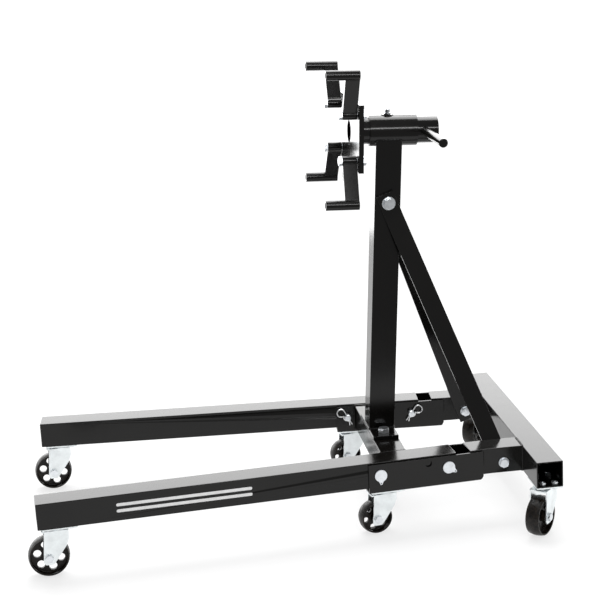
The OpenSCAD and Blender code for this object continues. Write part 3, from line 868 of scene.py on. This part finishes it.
def crossbar_welds():
    """Round the ends of the middle crossbar and of the stubs, and up the channels' ends."""
    bm = bmesh.new()
    low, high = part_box("mid_crossbar")
    corners = ((low.x, low.z), (low.x, high.z), (high.x, high.z), (high.x, low.z))
    stub_outline = loop_round(TUBE_W, TUBE_W, TUBE_CORNER)
    rear_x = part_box("rear_crossbar")[0].x
    half = TUBE_W / 2
    for side_name in SIDES:
        leg = leg_frame(side_name)
        origin = leg.translation
        loop = []
        for x, z in corners:
            along = (leg.inverted() @ Vector((x, origin.y, z))).x
            loop.append(leg @ Vector((along, -CHANNEL_OUT, z - origin.z)))
        bead(bm, loop, True)
        stub = leg @ Vector((STUB_BEND, 0, 0))
        bead(bm, [Vector((rear_x, stub.y + y, stub.z + z)) for y, z in stub_outline], True)
        for face in (-1, 1):
            wall = [(CHANNEL_BACK, face * (half + 0.8 * MM), height)
                    for height in (-4 * MM, half - 6 * MM)]
            bead(bm, [leg @ Vector(p) for p in wall], False)
    piece("crossbar_welds", bm, PAINT, "base")


def head_welds():
    """The boss on the sleeve, and the plate on the spindle."""
    head = head_frame()
    bm = bmesh.new()
    ring = []
    for angle in turns(48):
        y = BOSS_R * math.sin(angle)
        ring.append(head @ Vector((BOSS_R * math.cos(angle), y,
                                   math.sqrt(SLEEVE_R ** 2 - y ** 2) - 0.3 * MM)))
    bead(bm, ring, True, 1.8 * MM, 2.8 * MM)
    piece("boss_weld", bm, PAINT, "base")
    bm = bmesh.new()
    ring = [head @ Vector((PLATE_BACK, SPINDLE_R * math.cos(angle),
                           SPINDLE_R * math.sin(angle))) for angle in turns(64)]
    bead(bm, ring, True)
    piece("plate_weld", bm, PAINT, "head")


def arm_welds(level, side_name):
    """Where an arm's flat bar meets its pivot tube and its finger tube."""
    local = arm_frame(level, side_name)
    bm = bmesh.new()
    half = ARM_THICK / 2
    reach = 15.4 * MM
    drop = math.sqrt(ARM_TUBE_R ** 2 - half ** 2)
    for height in (drop, ARM_LEN - drop):
        for face in (-1, 1):
            ends = [local @ Vector((x, face * half, height)) for x in (-reach, reach)]
            bead(bm, ends, False, 1.7 * MM, 2.8 * MM)
    name = f"arm_{level}_{side_name}"
    piece(name + "_welds", bm, PAINT, name)


post_welds()
crossbar_welds()
head_welds()
for arm_level in LEVELS:
    for side_name in SIDES:
        arm_welds(arm_level, side_name)


# ---- Plain stripes on the outer sides of the legs ----

STRIPE_AT = -600 * MM           # middle of the stripes, from the pivot pin
STRIPE_LEN = 300 * MM
STRIPE_H = 7 * MM


def leg_stripes(side_name):
    """Two plain round-ended stripes of thin white vinyl."""
    bm = bmesh.new()
    outer = TUBE_W / 2
    outline = loop_round(STRIPE_LEN, STRIPE_H, 3.4 * MM)
    for height in (STRIPE_H, -STRIPE_H):
        inner_face, outer_face = [
            [bm.verts.new((STRIPE_AT + x, depth, height + z)) for x, z in outline]
            for depth in (outer - 0.1 * MM, outer + 0.15 * MM)]
        bm.faces.new(outer_face)
        bm.faces.new(list(reversed(inner_face)))
        for k in range(len(outline)):
            after = (k + 1) % len(outline)
            bm.faces.new((inner_face[k], inner_face[after], outer_face[after], outer_face[k]))
    piece(f"leg_stripes_{side_name}", moved(bm, leg_frame(side_name)), VINYL,
          f"leg_{side_name}")


for side_name in SIDES:
    leg_stripes(side_name)


# ---- Studio and camera ----

WORLD_BACK = 3.7                # how bright the wall behind the stand is in reflections
WORLD_SEEN = 1.1                # how bright the world is to the camera
FLOOR_GLOW = 0.70
FLOOR_R = 2.2
FLOOR_MIDDLE = (-0.1, 1.18, 0)  # its front edge is about 1 m before the stand's middle
CAMERA_AT = Vector((-0.5975, -3.4733, 1.4144))
CAMERA_YAW = 0.12106            # radians, from +Y towards +X
CAMERA_DIP = 0.25522            # radians below level
CAMERA_ROLL = -0.05181
CAMERA_LENS = 93.52             # millimetres, on a sensor 36 mm wide


def look_axes(yaw, dip, roll):
    """The camera's X, Y and Z axes, from its heading, its dip and its roll."""
    forward = Vector((math.sin(yaw), math.cos(yaw), 0))
    right = Vector((math.cos(yaw), -math.sin(yaw), 0))
    view = forward * math.cos(dip) - UP * math.sin(dip)
    over = UP * math.cos(dip) + forward * math.sin(dip)
    x = right * math.cos(roll) + over * math.sin(roll)
    y = over * math.cos(roll) - right * math.sin(roll)
    return x, y, -view


def camera():
    data = bpy.data.cameras.new("camera")
    data.lens = CAMERA_LENS
    data.sensor_width = 36
    made = bpy.data.objects.new("camera", data)
    bpy.context.scene.collection.objects.link(made)
    axes = look_axes(CAMERA_YAW, CAMERA_DIP, CAMERA_ROLL)
    made.matrix_world = axes_matrix(CAMERA_AT, *axes)
    bpy.context.scene.camera = made


def softbox(name, place, aim, size, power, colour=(1, 1, 1)):
    """A soft rectangular lamp of so many watts, which the camera doesn't see."""
    data = bpy.data.lights.new(name, "AREA")
    data.shape = "RECTANGLE"
    data.size, data.size_y = size
    data.energy = power
    data.color = colour
    made = bpy.data.objects.new(name, data)
    made.location = place
    made.rotation_euler = (Vector(aim) - Vector(place)).to_track_quat("-Z", "Y").to_euler()
    made.visible_camera = False
    bpy.context.scene.collection.objects.link(made)


def floor():
    """A pale matt disc with a glow of its own, so that shadows stay faint."""
    bm = bmesh.new()
    bmesh.ops.create_circle(bm, cap_ends=True, segments=128, radius=FLOOR_R,
                             matrix=Matrix.Translation(FLOOR_MIDDLE))
    mesh = bpy.data.meshes.new("floor")
    bm.to_mesh(mesh)
    bm.free()
    material, tree, shader, place = new_material("studio_floor")
    tint = ramp(tree, noise(tree, place, scale=0.6, detail=2), [(0.3, 0.25), (0.7, 0.27)])
    tree.links.new(tint, shader.inputs["Base Color"])
    shader.inputs["Emission Color"].default_value = (1, 1, 1, 1)
    shader.inputs["Emission Strength"].default_value = FLOOR_GLOW
    shader.inputs["Roughness"].default_value = 1.0
    shader.inputs["Specular IOR Level"].default_value = 0.0
    mesh.materials.append(material)
    made = bpy.data.objects.new("floor", mesh)
    bpy.context.scene.collection.objects.link(made)


def world():
    """White to the camera. Reflections see a bright wall behind the stand, dark elsewhere."""
    made = bpy.data.worlds.new("studio")
    bpy.context.scene.world = made
    made.use_nodes = True
    tree = made.node_tree
    background = tree.nodes["Background"]
    background.inputs["Color"].default_value = (1, 1, 1, 1)
    place = tree.nodes.new("ShaderNodeTexCoord").outputs["Generated"]
    split = tree.nodes.new("ShaderNodeSeparateXYZ")
    tree.links.new(place, split.inputs["Vector"])
    glow = tree.nodes.new("ShaderNodeMapRange")
    glow.inputs["From Min"].default_value = -1
    tree.links.new(split.outputs["Y"], glow.inputs["Value"])
    wall = ramp(tree, glow.outputs["Result"],
                [(0.40, 0.10), (0.62, 0.12), (0.80, 0.35), (0.92, 1.0)])
    strength = tree.nodes.new("ShaderNodeMath")
    strength.operation = "MULTIPLY"
    strength.inputs[1].default_value = WORLD_BACK
    tree.links.new(wall, strength.inputs[0])
    seen = tree.nodes.new("ShaderNodeMix")
    seen.inputs["B"].default_value = WORLD_SEEN
    tree.links.new(strength.outputs["Value"], seen.inputs["A"])
    eye = tree.nodes.new("ShaderNodeLightPath").outputs["Is Camera Ray"]
    tree.links.new(eye, seen.inputs["Factor"])
    tree.links.new(seen.outputs["Result"], background.inputs["Strength"])


camera()
world()
floor()
softbox("overhead", (0.0, 1.2, 3.2), (0, 0.3, 0), (3.0, 2.0), 130)
softbox("front_low", (0.12, -1.75, 2.25), (0.02, 0, 0.8), (0.22, 0.8), 3.2)
softbox("front_high", (0.02, -0.91, 2.68), (-0.04, 0, 0.9), (0.18, 0.8), 6, (0.93, 0.97, 1))
softbox("front_strip", (0.3, -2.2, 1.78), (0, 0, 0.88), (1.2, 0.26), 13)
bpy.context.scene.view_settings.view_transform = "Standard"
